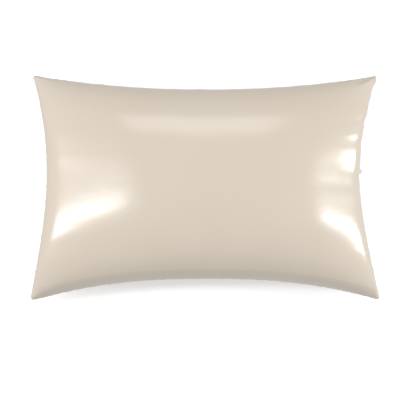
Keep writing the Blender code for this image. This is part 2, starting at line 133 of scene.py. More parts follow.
class Outline:
    """The seam seen from above: four bowed edges with blunt corners, and a patch between them."""

    POINT = 0.3

    def __init__(self) -> None:
        """Sets out the four corners and the four edges."""
        self.front_left = Corner(-0.3690, -0.2410, 0.036, 0.016, 0.024)
        self.front_right = Corner(0.3690, -0.2390, 0.034, 0.014, 0.024)
        self.back_left = Corner(-0.3680, 0.2420, 0.034, 0.016, 0.012)
        self.back_right = Corner(0.3670, 0.2410, 0.036, 0.016, 0.012)
        front = Bow(0.0450, 0.50, 2.35, 2.35)
        back = Bow(0.0400, 0.50, 2.35, 2.35)
        left = Bow(0.0370, 0.53, 1.80, 2.10)
        right = Bow(0.0470, 0.58, 1.90, 1.80)
        fl, fr, bl, br = self.front_left, self.front_right, self.back_left, self.back_right
        self.spans: dict[Side, Span] = {
            Side.FRONT: Span(fl, fr, front, (0, 1), "along_blunt", ((Side.LEFT, False), (Side.RIGHT, False))),
            Side.BACK: Span(bl, br, back, (0, -1), "along_blunt", ((Side.LEFT, True), (Side.RIGHT, True))),
            Side.LEFT: Span(fl, bl, left, (1, 0), "across_blunt", ((Side.FRONT, False), (Side.BACK, False))),
            Side.RIGHT: Span(fr, br, right, (-1, 0), "across_blunt", ((Side.FRONT, True), (Side.BACK, True))),
        }
        share = np.linspace(0, 1, 801)
        points = np.vstack([self.edge(side, share) for side in Side])
        self.centre = (points.min(0) + points.max(0)) / 2
        waist = self.patch(np.array([-1.0, 1.0, 0.0, 0.0]), np.array([0.0, 0.0, -1.0, 1.0]))
        self.half_waist = np.array([waist[1, 0] - waist[0, 0], waist[3, 1] - waist[2, 1]]) / 2

    def edge(self, side: Side, share: Array) -> Array:
        """Points of one edge with its corners rounded.

        A corner is half a quadratic Bezier curve about the sharp tip, blended with the tip itself
        by POINT.

        Args:
            side: which edge.
            share: places along it, from 0 to 1.

        Returns:
            Points (x, y).
        """
        span = self.spans[side]
        length = math.hypot(span.end.x - span.start.x, span.end.y - span.start.y)
        moved = np.array(share, float)
        pushes = np.zeros((len(moved), 2))
        for corner, at_end, (other, other_at_end) in (
            (span.start, False, span.meets[0]),
            (span.end, True, span.meets[1]),
        ):
            reach = getattr(corner, span.blunt)
            from_tip = (1 - share if at_end else share) * length
            kept = np.where(from_tip < reach, reach / 4 + from_tip * 3 / 4, from_tip)
            turn = np.clip(1 - np.sqrt(kept / reach), 0, 1)
            moved = moved + (1 - self.POINT) * (kept - from_tip) / length * (-1 if at_end else 1)
            push = (1 - self.POINT) * turn**2 * getattr(corner, self.spans[other].blunt)
            pushes += np.outer(push, self.spans[other].leaving(other_at_end))
        return span.line(moved) + pushes

    def patch(self, along: Array, across: Array) -> Array:
        """Plan positions inside the outline: a Coons patch, ruled both ways less its corners.

        Args:
            along: sheet coordinate from -1 at the left edge to 1 at the right.
            across: sheet coordinate from -1 at the front edge to 1 at the back.

        Returns:
            Points (x, y), in the shape of along with a last axis of 2.
        """
        s, t = (along.ravel() + 1) / 2, (across.ravel() + 1) / 2
        front, back = self.edge(Side.FRONT, s), self.edge(Side.BACK, s)
        left, right = self.edge(Side.LEFT, t), self.edge(Side.RIGHT, t)
        ends = {side: self.edge(side, np.array([0.0, 1.0])) for side in (Side.FRONT, Side.BACK)}
        s, t = s[:, None], t[:, None]
        ruled = (1 - t) * front + t * back + (1 - s) * left + s * right
        corners = (1 - t) * ((1 - s) * ends[Side.FRONT][0] + s * ends[Side.FRONT][1])
        corners = corners + t * ((1 - s) * ends[Side.BACK][0] + s * ends[Side.BACK][1])
        return (ruled - corners).reshape(*along.shape, 2)

    def place_across(self, across: Array) -> Array:
        """Distance across the case, in metres, of the zip's end at a sheet coordinate."""
        flat = self.edge(Side.RIGHT, (np.ravel(across) + 1) / 2)[:, 1]
        return flat.reshape(np.shape(across))


@dataclass(frozen=True)
class Gap:
    """How far a panel's edge parts from the seam at the open zip, and over what run."""

    width: float
    run: float


def smooth(value: Array, low: float, high: float) -> Array:
    """Smooth step: 0 below low, 1 above high, and t*t*(3-2t) between.

    Args:
        value: what is stepped.
        low: where the step starts.
        high: where it ends.

    Returns:
        Shares from 0 to 1.
    """
    t = np.clip((value - low) / (high - low), 0, 1)
    return t * t * (3 - 2 * t)


def bell(value: Array, width: float) -> Array:
    """Bell curve exp(-(value/width)**2)."""
    return np.exp(-((value / width) ** 2))


@dataclass(frozen=True)
class Crease:
    """A fold that starts near a corner: a trough with a ridge beside it, in the corner's own frame.

    In that frame x and y run inwards from the tip, along the two edges' chords.
    """

    corner: str
    angle: float
    start: float
    length: float
    bend: float
    trough: float
    trough_width: float
    ridge: float
    ridge_width: float
    ridge_offset: float

    def offset(self, x: Array, y: Array) -> Array:
        """Height of the fold: ridge*bell(off - ridge_offset) - trough*bell(off), faded at its ends.

        Args:
            x: distances inwards along the case from the tip.
            y: distances inwards across the case from the tip.

        Returns:
            Heights outwards, in metres.
        """
        turn = math.radians(self.angle)
        run = x * math.cos(turn) + y * math.sin(turn)
        off = y * math.cos(turn) - x * math.sin(turn) - self.bend * (run / self.length) ** 2
        fade = smooth(run, self.start * 0.2, self.start) * (
            1 - smooth(run, self.start + self.length * 0.45, self.start + self.length)
        )
        shape = self.ridge * bell(off - self.ridge_offset, self.ridge_width)
        return fade * (shape - self.trough * bell(off, self.trough_width))


@dataclass(frozen=True)
class Form:
    """The filled case: two swollen faces on a drooping seam, flattened where it lies."""

    outline: Outline = field(default_factory=Outline)
    seam_height: float = 0.090
    crown: float = 0.115
    crown_power: float = 3.0
    droop_power: float = 4.5
    floor_blend: float = 0.010
    seam_gap: float = 0.0005
    layer_fade: float = 0.0040
    corner_bunch: float = 1.8
    corner_reach: float = 10.0
    zip_start: float = -0.196
    zip_end: float = 0.203
    slider_place: float = 0.030
    opening_lead: float = 0.0090
    closing_power: float = 4.0
    lip_reach: float = 0.45
    groove_depth: float = 0.0013
    groove_width: float = 0.0026
    roll_height: float = 0.0004
    roll_place: float = 0.0062
    roll_width: float = 0.0028
    pucker_height: float = 0.00045
    lump_height: float = 0.00045
    pucker_fade: float = 0.020
    pucker_lengths: tuple[float, float] = (0.021, 0.034)
    long_fade: float = 0.055
    long_length: float = 0.062
    lump_lengths: tuple[float, float] = (0.19, 0.15)
    widest_gap: Gap = Gap(0.032, 0.030)
    creases: tuple[Crease, ...] = ()

    @property
    def wall_rate(self) -> float:
        """Metres of upright wall for each unit of share next to the seam."""
        return self.crown * math.sqrt(self.crown_power * math.pi**2 / 8)

    def pack(self, share: Array) -> Array:
        """Sheet coordinate of an even share: sin(share * pi / 2), which crowds towards the edges."""
        return np.sin(share * math.pi / 2)

    def seam_level(self, along: Array, across: Array) -> Array:
        """Height of the seam's surface: level, and drooping by near*(2-near) to each corner.

        near is |along * across| to the droop's power.

        Args:
            along: sheet coordinate along the case.
            across: sheet coordinate across it.

        Returns:
            Heights in metres.
        """
        fall = np.zeros_like(along)
        for corner, sx, sy in (
            (self.outline.front_left, -1, -1),
            (self.outline.front_right, 1, -1),
            (self.outline.back_left, -1, 1),
            (self.outline.back_right, 1, 1),
        ):
            fall = fall + corner.droop * (1 + sx * along) / 2 * (1 + sy * across) / 2
        near = np.abs(along * across) ** self.droop_power
        return self.seam_height - fall * near * (2 - near)

    def swell(self, along: Array, across: Array) -> Array:
        """Share of the crown: sqrt((1-|along|**p) * (1-|across|**p)), upright at the seam."""
        part_along = np.clip(1 - np.abs(along) ** self.crown_power, 0, None)
        part_across = np.clip(1 - np.abs(across) ** self.crown_power, 0, None)
        return np.sqrt(part_along * part_across)

    def rest(self, height: Array) -> Array:
        """Height with all below 0 flattened to 0, by a parabola over the floor blend."""
        blended = (height + self.floor_blend) ** 2 / (4 * self.floor_blend)
        low = np.where(height < -self.floor_blend, 0.0, blended)
        return np.where(height > self.floor_blend, height, low)

    def parted(self, place: Array, gap: Gap) -> Array:
        """How far a panel's edge has parted: width * (1-exp(-run/gap run)) * (1 - end**power).

        Args:
            place: distances across the case, in metres.
            gap: the panel's gap.

        Returns:
            Distances along the wall, in metres.
        """
        start = self.slider_place - self.opening_lead
        run = np.clip(place - start, 0, self.zip_end - start)
        close = 1 - (run / (self.zip_end - start)) ** self.closing_power
        return gap.width * (1 - np.exp(-run / gap.run)) * close

    def near_zip(self, share: Array) -> Array:
        """How much of the zip's shift a point takes: 0 over most of the case, and 1 at its end."""
        return smooth(share, self.lip_reach, 0.9)

    def bare(self, share: Array, across: Array, depth: float, face: Face) -> Array:
        """Points of the plain form, with no folds.

        In plan the outline shrinks by the depth towards its middle. Seen from the side the height
        is the seam's level plus or less the crown's swell, less the depth, which fades in over
        layer_fade.

        Args:
            share: sheet coordinate along the case, before pack().
            across: sheet coordinate across it.
            depth: metres below the outer face.
            face: which side.

        Returns:
            Points (x, y, z).
        """
        along = self.pack(np.clip(share, -1, 1))
        plan = self.outline.patch(along, across) - self.outline.centre
        bunched = 1 + self.corner_bunch * np.abs(along * across)[..., None] ** self.corner_reach
        plan = plan * (1 - depth * bunched / self.outline.half_waist)
        height = self.crown * self.swell(along, across)
        below = depth * (1 - np.exp(-height / self.layer_fade))
        seam = self.seam_level(along, across) + face.value * self.seam_gap / 2
        upper = face is Face.FRONT
        z = seam + height - below if upper else self.rest(seam - height) + below
        return np.stack([plan[..., 0], plan[..., 1], z], axis=-1)

    def normal(self, share: Array, across: Array, face: Face, step: float = 0.004) -> Array:
        """Outward unit normals of the plain form, from central differences.

        Args:
            share: sheet coordinate along the case, before pack().
            across: sheet coordinate across it.
            face: which side.
            step: half the difference, in sheet coordinates.

        Returns:
            Unit vectors.
        """
        even = np.arcsin(np.clip(across, -1, 1)) * 2 / math.pi
        s, t = np.clip(share, step - 1, 1 - step), np.clip(even, step - 1, 1 - step)
        along_cloth = self.bare(s + step, self.pack(t), 0, face) - self.bare(s - step, self.pack(t), 0, face)
        across_cloth = self.bare(s, self.pack(t + step), 0, face) - self.bare(s, self.pack(t - step), 0, face)
        normal = np.cross(along_cloth, across_cloth) * face.value
        return normal / np.maximum(np.linalg.norm(normal, axis=-1, keepdims=True), 1e-12)

    def wave(self, place: Array, length: float, phase: float) -> Array:
        """An uneven wave: a sine whose phase and height drift along it."""
        turn = 2 * math.pi * place / length
        drift = 1.9 * np.sin(turn / 6.3 + phase * 2.1) + 1.1 * np.sin(turn / 2.7 + phase)
        return np.sin(turn + drift + phase) * (0.65 + 0.35 * np.sin(turn / 4.1 + phase * 3.7))

    def seam_distances(self, share: Array, across: Array) -> tuple[Array, Array]:
        """Distances up the wall from the end seams and from the side seams, in metres."""
        even = np.arcsin(np.clip(across, -1, 1)) * 2 / math.pi
        ends = (1 - np.clip(np.abs(share), 0, 1)) * self.wall_rate
        return ends, (1 - np.abs(even)) * self.wall_rate

    def folds(self, share: Array, across: Array, points: Array, face: Face) -> Array:
        """How far the cloth stands out from the plain form.

        It is the sum of the groove at the seam, the roll of the seam allowance beside it, the
        puckers that fade away from it, the pillow's slow lumps, and the creases at the corners.

        Args:
            share: sheet coordinate along the case, before pack().
            across: sheet coordinate across it.
            points: the plain form there.
            face: which side.

        Returns:
            Distances outwards, in metres.
        """
        x, y, z = points[..., 0], points[..., 1], points[..., 2]
        ends, sides = self.seam_distances(share, across)
        tag = 0.0 if face is Face.FRONT else 2.4
        total = np.zeros_like(x)
        for distance, place, far, phase in ((ends, y, share, 0.7), (sides, x, across, 1.9)):
            phase = phase + tag + np.where(far > 0, 1.3, 0.0)
            total -= self.groove_depth * bell(distance, self.groove_width)
            total += self.roll_height * bell(distance - self.roll_place, self.roll_width)
            short, medium = self.pucker_lengths
            fade = np.exp(-distance / self.pucker_fade) * smooth(distance, 0.0, 0.006)
            puckers = self.wave(place, short, phase) + 0.6 * self.wave(place, medium, phase + 2)
            total += self.pucker_height * fade * puckers
            long_fade = np.exp(-distance / self.long_fade) * smooth(distance, 0.004, 0.03)
            total += 1.3 * self.pucker_height * long_fade * self.wave(place, self.long_length, phase + 4)
        first, second = self.lump_lengths
        lumps = self.wave(x + 0.35 * y, first, 0.4 + tag) + self.wave(y - 0.25 * x, second, 2.2 + tag)
        middle = smooth(np.minimum(ends, sides), 0.02, 0.07)
        total += self.lump_height * lumps * middle
        if face is Face.FRONT:
            total += self.corner_creases(x, y)
            return total
        return total * smooth(z, 0.0, 0.02)

    def corner_creases(self, x: Array, y: Array) -> Array:
        """Sum of the creases' heights at plan positions x, y."""
        total = np.zeros_like(x)
        for crease in self.creases:
            corner: Corner = getattr(self.outline, crease.corner)
            tip_x, tip_y = corner.x - self.outline.centre[0], corner.y - self.outline.centre[1]
            total += crease.offset((x - tip_x) * -np.sign(tip_x), (y - tip_y) * -np.sign(tip_y))
        return total

    def cloth(
        self,
        share: Array,
        across: Array,
        depth: float,
        face: Face,
        gap: Gap | None = None,
        lift: float = 0.0,
    ) -> Array:
        """Points of a layer of cloth, with its folds and the zip's opening.

        Near the zip the layer slides along the wall by what its edge has parted, and it stands off
        by lift in proportion.

        Args:
            share: sheet coordinate along the case, before pack(); past 1 beyond the panel's edge.
            across: sheet coordinate across it.
            depth: metres below the outer face.
            face: which side.
            gap: the panel's gap at the zip, or None for what doesn't part.
            lift: how far the layer stands off at the opening.

        Returns:
            Points (x, y, z).
        """
        opened = self.parted(self.outline.place_across(across), gap or self.widest_gap)
        shifted = share - self.near_zip(share) * opened / self.wall_rate if gap else share
        points = self.bare(shifted, across, depth, face)
        outward = self.normal(shifted, across, face)
        folded = points + outward * self.folds(shifted, across, points, face)[..., None]
        folded[..., 0] += lift * self.near_zip(share) ** 4 * opened / self.widest_gap.width
        return folded


# ------------------------------------------------------------------ meshes from grids
@dataclass(frozen=True)
class Lines:
    """Grid lines over the sheet: even ones, and a few that crowd next to the seams."""

    along_count: int = 220
    across_count: int = 164
    crowded: tuple[float, ...] = (0.0007, 0.0015, 0.0025, 0.0038)

    def even(self, count: int, wall_rate: float) -> Array:
        """Even lines from -1 to 1, with the crowded ones at both ends.

        Args:
            count: how many even steps there are.
            wall_rate: metres of wall for each unit, next to the seam.

        Returns:
            The lines' coordinates in order.
        """
        close = np.array(self.crowded) / wall_rate
        lines = np.linspace(-1, 1, count + 1)
        inner = lines[(lines > close[-1] * 1.25 - 1) & (lines < 1 - close[-1] * 1.25)]
        return np.unique(np.concatenate([[-1.0, 1.0], close - 1, 1 - close, inner]))


class GridMesh:
    """Closed meshes from grids of points, as quads."""

    @staticmethod
    def quads(index: Array) -> Array:
        """Quads between a grid of vertex numbers, anticlockwise when i is x and j is y."""
        corners = (index[:-1, :-1], index[1:, :-1], index[1:, 1:], index[:-1, 1:])
        return np.stack(corners, axis=-1).reshape(-1, 4)

    @staticmethod
    def rim(index: Array) -> Array:
        """The numbers round a grid's border, anticlockwise."""
        return np.concatenate([index[:-1, 0], index[-1, :-1], index[:0:-1, -1], index[0, :0:-1]])

    @staticmethod
    def make(
        name: str, points: Array, faces: Array, uv: Array, distance: Array | None = None
    ) -> bpy.types.Object:
        """A smooth mesh object with a UV map in metres and, if given, the distance to the seam.

        Args:
            name: the object's name.
            points: vertices, one a row.
            faces: quads, one a row.
            uv: UV of each vertex.
            distance: distance of each vertex to the nearest seam.

        Returns:
            The object, linked to the scene.
        """
        mesh = bpy.data.meshes.new(name)
        mesh.vertices.add(len(points))
        mesh.vertices.foreach_set("co", np.ascontiguousarray(points, np.float32).ravel())
        mesh.loops.add(faces.size)
        mesh.loops.foreach_set("vertex_index", np.ascontiguousarray(faces, np.int32).ravel())
        mesh.polygons.add(len(faces))
        mesh.polygons.foreach_set("loop_start", np.arange(0, faces.size, 4, dtype=np.int32))
        mesh.update(calc_edges=True)
        layer = mesh.uv_layers.new(name=CLOTH_UV)
        layer.data.foreach_set("uv", np.ascontiguousarray(uv[faces.ravel()], np.float32).ravel())
        if distance is not None:
            stored = mesh.attributes.new(SEAM_DISTANCE, "FLOAT", "POINT")
            stored.data.foreach_set("value", np.ascontiguousarray(distance, np.float32))
        mesh.shade_smooth()
        mesh.validate()
        made = bpy.data.objects.new(name, mesh)
        bpy.context.scene.collection.objects.link(made)
        return made

    @classmethod
    def shell(
        cls, name: str, outer: Array, inner: Array, uv: Array, distance: Array, face: Face
    ) -> bpy.types.Object:
        """A sheet of cloth: an outer and an inner grid, joined round their rims.

        Args:
            name: the object's name.
            outer: grid of outer points.
            inner: grid of inner points.
            uv: grid of UVs in metres.
            distance: grid of distances to the nearest seam.
            face: which way the outer grid faces.

        Returns:
            The object.
        """
        count = outer.shape[0] * outer.shape[1]
        top = np.arange(count).reshape(outer.shape[:2])
        low = top + count
        here, under = cls.rim(top), cls.rim(low)
        rim = np.stack([under, np.roll(under, -1), np.roll(here, -1), here], axis=-1)
        faces = np.vstack([cls.quads(top), cls.quads(low)[:, ::-1], rim])
        if face is Face.BACK:
            faces = faces[:, ::-1]
        points = np.vstack([outer.reshape(-1, 3), inner.reshape(-1, 3)])
        uvs = np.vstack([uv.reshape(-1, 2)] * 2)
        made = cls.make(name, points, faces, uvs, np.tile(distance.ravel(), 2))
        made.data.set_sharp_from_angle(angle=math.radians(55))
        return made

    @classmethod
    def filled(cls, name: str, upper: Array, lower: Array, uv: Array, distance: Array) -> bpy.types.Object:
        """A closed solid from two grids that share their rim.

        Args:
            name: the object's name.
            upper: grid of points on top.
            lower: grid of points underneath, with the same rim.
            uv: grid of UVs in metres.
            distance: grid of distances to the nearest seam.

        Returns:
            The object.
        """
        shape = upper.shape[:2]
        top = np.arange(shape[0] * shape[1]).reshape(shape)
        low = top.copy()
        inside = (shape[0] - 2) * (shape[1] - 2)
        low[1:-1, 1:-1] = (np.arange(inside) + top.size).reshape(shape[0] - 2, shape[1] - 2)
        points = np.vstack([upper.reshape(-1, 3), lower[1:-1, 1:-1].reshape(-1, 3)])
        uvs = np.vstack([uv.reshape(-1, 2), uv[1:-1, 1:-1].reshape(-1, 2)])
        far = np.concatenate([distance.ravel(), distance[1:-1, 1:-1].ravel()])
        return cls.make(name, points, np.vstack([cls.quads(top), cls.quads(low)[:, ::-1]]), uvs, far)

    @classmethod
    def tube(cls, name: str, rings: Array) -> bpy.types.Object:
        """A closed tube from rings of points, with its ends drawn together.

        Args:
            name: the object's name.
            rings: points [ring, side, xyz], each ring anticlockwise about the way it runs.

        Returns:
            The object.
        """
        ends = rings[[0, -1]].mean(axis=1, keepdims=True)
        sides = rings.shape[1]
        first, last = (np.repeat(ends[[k]], sides, axis=1) for k in (0, 1))
        grid = np.concatenate([first, rings, last])
        index = np.arange(grid.shape[0] * sides).reshape(grid.shape[:2])
        index[0], index[-1] = index[0, 0], index[-1, 0]
        wrapped = np.concatenate([index, index[:, :1]], axis=1)
        run = np.arange(grid.shape[0])[:, None] * np.ones(sides)
        uv = np.stack([run, np.tile(np.arange(sides), (grid.shape[0], 1))], axis=-1) * 0.001
        faces = cls.quads(wrapped)
        return cls.make(name, grid.reshape(-1, 3), faces, uv.reshape(-1, 2))


# ------------------------------------------------------------------ shader building
class Value:
    """A number inside a shader. Arithmetic on it adds Math nodes."""

    def __init__(self, shader: "Shader", socket: bpy.types.NodeSocket) -> None:
        """Wraps an output socket."""
        self.shader = shader
        self.socket = socket

    def math(self, operation: str, *others: "Value | float", clamp: bool = False) -> "Value":
        """A Math node with this value first.

        Args:
            operation: the node's operation.
            others: its other inputs.
            clamp: whether the result is kept between 0 and 1.

        Returns:
            The result.
        """
        inputs = dict(enumerate((self, *others)))
        return self.shader.node("ShaderNodeMath", {"operation": operation, "use_clamp": clamp}, inputs)

    def __add__(self, other: "Value | float") -> "Value":
        """This value plus another."""
        return self.math("ADD", other)

    def __sub__(self, other: "Value | float") -> "Value":
        """This value less another."""
        return self.math("SUBTRACT", other)

    def __rsub__(self, other: float) -> "Value":
        """A number less this value."""
        return self.math("MULTIPLY", -1.0).math("ADD", other)

    def __mul__(self, other: "Value | float") -> "Value":
        """This value times another."""
        return self.math("MULTIPLY", other)

    def __truediv__(self, other: "Value | float") -> "Value":
        """This value divided by another."""
        return self.math("DIVIDE", other)

    __radd__ = __add__
    __rmul__ = __mul__

    def ramp(self, low: float, high: float) -> "Value":
        """0 where this value is low, 1 where it is high, and smooth between."""
        settings = {"interpolation_type": "SMOOTHSTEP"}
        inputs = {"Value": self, "From Min": low, "From Max": high}
        return self.shader.node("ShaderNodeMapRange", settings, inputs)


class Shader:
    """One material's node tree, round a Principled BSDF."""

    def __init__(self, name: str) -> None:
        """Starts a material with its Principled BSDF and output."""
        self.material = bpy.data.materials.new(name)
        self.material.use_nodes = True
        self.tree = self.material.node_tree
        self.surface = self.tree.nodes["Principled BSDF"]

    def node(
        self,
        kind: str,
        settings: Mapping[str, object],
        inputs: Mapping[str | int, object],
        output: int | str = 0,
    ) -> Value:
        """Adds a node: its settings first, and then its inputs' values and links.

        Args:
            kind: the node's type.
            settings: its properties.
            inputs: sockets by name or number, with a Value to link or a constant.
            output: which output is wanted.

        Returns:
            That output.
        """
        made = self.tree.nodes.new(kind)
        for key, value in settings.items():
            setattr(made, key, value)
        self.connect(made, inputs)
        return Value(self, made.outputs[output])

    def connect(self, node: bpy.types.Node, inputs: Mapping[str | int, object]) -> None:
        """Links or sets a node's inputs."""
        for key, value in inputs.items():
            if isinstance(value, Value):
                self.tree.links.new(value.socket, node.inputs[key])
            else:
                node.inputs[key].default_value = value

    def finish(self, inputs: Mapping[str, object]) -> bpy.types.Material:
        """Sets the Principled BSDF's inputs.

        Args:
            inputs: its sockets by name, with a Value to link or a constant.

        Returns:
            The finished material.
        """
        self.connect(self.surface, inputs)
        return self.material

    def uv(self) -> Value:
        """The cloth's own UV map, in metres."""
        return self.node("ShaderNodeUVMap", {"uv_map": CLOTH_UV}, {})

    def place(self) -> Value:
        """Object coordinates, in metres."""
        return self.node("ShaderNodeTexCoord", {}, {}, "Object")

    def seam(self) -> Value:
        """Distance to the nearest seam, in metres."""
        return self.node("ShaderNodeAttribute", {"attribute_name": SEAM_DISTANCE}, {}, "Fac")

    def stretched(self, vector: Value, scale: Sequence[float]) -> Value:
        """A vector times a scale on each axis."""
        settings = {"operation": "MULTIPLY"}
        return self.node("ShaderNodeVectorMath", settings, {0: vector, 1: tuple(scale)})

    def part(self, vector: Value, axis: str) -> Value:
        """One axis of a vector."""
        return self.node("ShaderNodeSeparateXYZ", {}, {0: vector}, axis)

    def noise(self, vector: Value, scale: Sequence[float], detail: float = 2.0) -> Value:
        """Noise about 0.5, with its own scale on each axis, in cells for each metre."""
        inputs = {"Vector": self.stretched(vector, scale), "Scale": 1.0, "Detail": detail, "Roughness": 0.5}
        return self.node("ShaderNodeTexNoise", {}, inputs)

    def blend(self, share: Value, first: Sequence[float], second: Sequence[float]) -> Value:
        """A colour between two, by a share."""
        settings = {"data_type": "RGBA"}
        return self.node("ShaderNodeMix", settings, {0: share, 6: (*first, 1.0), 7: (*second, 1.0)}, 2)

    def bump(self, height: Value, strength: float = 1.0) -> Value:
        """A bumped normal from a height in metres."""
        inputs = {"Strength": strength, "Distance": 1.0, "Height": height}
        return self.node("ShaderNodeBump", {}, inputs, "Normal")


@dataclass(frozen=True)
class SatinFinish:
    """Champagne satin: long shiny floats across the case, faint slubs, and drawn threads at the seam."""

    light: Rgb = (0.590, 0.520, 0.436)
    dark: Rgb = (0.552, 0.480, 0.392)
    roughness: float = 0.22
    float_height: float = 0.000030
    crinkle_height: float = 0.00016
    drawn_height: float = 0.00050
    drawn_reach: float = 0.016

    def material(self) -> bpy.types.Material:
        """The satin's material.

        Colour is a slow mottle plus fine threads. Height is threads, a soft crinkle, and creases
        that run away from the seam and die out over drawn_reach.
        """
        s = Shader("champagne_satin")
        uv, place = s.uv(), s.place()
        floats = s.noise(uv, (260, 2600, 1), 2.0)
        ribs = s.noise(uv, (2400, 300, 1), 1.0)
        mottle = s.noise(place, (5.0, 5.0, 5.0), 2.0)
        crinkle = s.noise(place, (34, 34, 34), 3.0)
        drawn = s.noise(uv, (120, 120, 1), 2.0)
        near = (1.0 - (s.seam() / self.drawn_reach)).math("MAXIMUM", 0.0)
        tone = (mottle - 0.5) * 1.1 + (floats - 0.5) * 0.7 + (ribs - 0.5) * 0.3 + 0.5
        height = (floats - 0.5) * self.float_height + (ribs - 0.5) * (self.float_height * 0.5)
        height = height + (crinkle - 0.5) * self.crinkle_height
        height = height + (drawn - 0.5) * near * near * self.drawn_height
        return s.finish(
            {
                "Base Color": s.blend(tone.math("ADD", 0.0, clamp=True), self.dark, self.light),
                "Roughness": (floats - 0.5) * 0.10 + self.roughness,
                "Specular IOR Level": 0.85,
                "Sheen Weight": 0.10,
                "Sheen Roughness": 0.35,
                "Sheen Tint": (1.0, 0.96, 0.90, 1.0),
                "Normal": s.bump(height),
            }
        )


@dataclass(frozen=True)
class CottonFinish:
    """The pillow's plain white cotton, woven finely and a little creased."""

    light: Rgb = (0.84, 0.84, 0.88)
    # dark is the colour that the crease dips take: painted crease shade
    dark: Rgb = (0.74, 0.74, 0.80)

    def material(self) -> bpy.types.Material:
        """The cotton's material: a plain weave of two crossed waves, with soft creases whose dips are
        darkened in colour as painted crease shade.
        """
        s = Shader("white_cotton")
        uv, place = s.uv(), s.place()
        warp = (s.part(uv, "X") * 9000.0).math("SINE")
        weft = (s.part(uv, "Y") * 9000.0).math("SINE")
        soft = s.noise(place, (45, 45, 45), 3.0)
        height = warp * weft * 0.000025 + (soft - 0.5) * 0.0009
        # tone follows the crease noise, so it is darker where the creases dip (painted crease shade), plus
        # the weave's faint woven pattern
        tone = (soft - 0.5) * 1.2 + warp * weft * 0.08 + 0.6
        return s.finish(
            {
                "Base Color": s.blend(tone.math("ADD", 0.0, clamp=True), self.dark, self.light),
                "Roughness": (soft - 0.5) * 0.1 + 0.85,
                "Sheen Weight": 0.15,
                "Normal": s.bump(height),
            }
        )


@dataclass(frozen=True)
class TapeFinish:
    """The zip tape's cream herringbone."""

    light: Rgb = (0.80, 0.77, 0.69)
    dark: Rgb = (0.64, 0.60, 0.52)

    def material(self) -> bpy.types.Material:
        """The tape's material: slanting ribs that turn back every 1.6 mm across the tape."""
        s = Shader("cream_zip_tape")
        uv = s.uv()
        run, width = s.part(uv, "Y"), s.part(uv, "X")
        turned = (width / 0.0016).math("PINGPONG", 1.0) * 0.0008
        ribs = ((run + turned) * 7800.0).math("SINE") * 0.5 + 0.5
        fuzz = s.noise(uv, (3000, 3000, 1), 2.0)
        return s.finish(
            {
                "Base Color": s.blend(ribs * 0.7 + fuzz * 0.3, self.dark, self.light),
                "Roughness": fuzz * 0.15 + 0.7,
                "Sheen Weight": 0.1,
                "Normal": s.bump(ribs * 0.00008 + fuzz * 0.00003),
            }
        )


@dataclass(frozen=True)
class CoilFinish:
    """The zip's nylon coil: milky white and half gloss."""

    light: Rgb = (0.80, 0.79, 0.76)
    dark: Rgb = (0.66, 0.64, 0.60)

    def material(self) -> bpy.types.Material:
        """The coil's material, with a faint mottle."""
        s = Shader("milky_nylon")
        mottle = s.noise(s.place(), (900, 900, 900), 1.0)
        return s.finish(
            {
                "Base Color": s.blend(mottle, self.dark, self.light),
                "Roughness": mottle * 0.12 + 0.28,
                "Coat Weight": 0.15,
                "Normal": s.bump(mottle * 0.00002),
            }
        )


@dataclass(frozen=True)
class NickelFinish:
    """Tumbled nickel plate on the slider and its ring."""

    light: Rgb = (0.70, 0.69, 0.67)
    dark: Rgb = (0.46, 0.45, 0.44)

    def material(self) -> bpy.types.Material:
        """The nickel's material: tiny scuffs in colour, roughness and height."""
        s = Shader("tumbled_nickel")
        scuff = s.noise(s.place(), (2600, 700, 2600), 3.0)
        worn = scuff.ramp(0.35, 0.7)
        return s.finish(
            {
                "Base Color": s.blend(worn, self.dark, self.light),
                "Metallic": 1.0,
                "Roughness": scuff * 0.22 + 0.14,
                "Normal": s.bump(scuff * 0.000012),
            }
        )


@dataclass(frozen=True)
class EnamelFinish:
    """White enamel on the zip's pull."""

    light: Rgb = (0.86, 0.85, 0.89)
    dark: Rgb = (0.76, 0.75, 0.80)

    def material(self) -> bpy.types.Material:
        """The enamel's material: nearly even, with a faint orange peel."""
        s = Shader("white_enamel")
        peel = s.noise(s.place(), (1400, 1400, 1400), 2.0)
        return s.finish(
            {
                "Base Color": s.blend(peel, self.dark, self.light),
                "Roughness": peel * 0.1 + 0.22,
                "Coat Weight": 0.3,
                "Normal": s.bump(peel * 0.00001),
            }
        )


@dataclass(frozen=True)
class FloorFinish:
    """The studio's white floor."""

    light: Rgb = (0.93, 0.93, 0.94)
    dark: Rgb = (0.90, 0.90, 0.91)
    glow: float = 0.24

    def material(self) -> bpy.types.Material:
        """The floor's material: matt paper with a barely seen mottle."""
        s = Shader("studio_paper")
        mottle = s.noise(s.place(), (1.5, 1.5, 1.5), 1.0)
        return s.finish(
            {
                "Base Color": s.blend(mottle, self.dark, self.light),
                "Roughness": 0.95,
                "Emission Color": (1.0, 1.0, 1.0, 1.0),
                "Emission Strength": self.glow,
            }
        )


# ------------------------------------------------------------------ the pieces
def dress(piece: bpy.types.Object, material: bpy.types.Material) -> bpy.types.Object:
    """Gives a piece one material in place of what it has.

    Args:
        piece: the object.
        material: its material.

    Returns:
        The same object.
    """
    piece.data.materials.clear()
    piece.data.materials.append(material)
    return piece


def settle(piece: bpy.types.Object, node: str | None) -> None:
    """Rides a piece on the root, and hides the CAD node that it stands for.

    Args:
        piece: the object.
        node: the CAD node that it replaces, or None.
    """
    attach(piece, "root")
    if node:
        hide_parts(node)
    LOG.info("%s: %d faces", piece.name, len(piece.data.polygons))


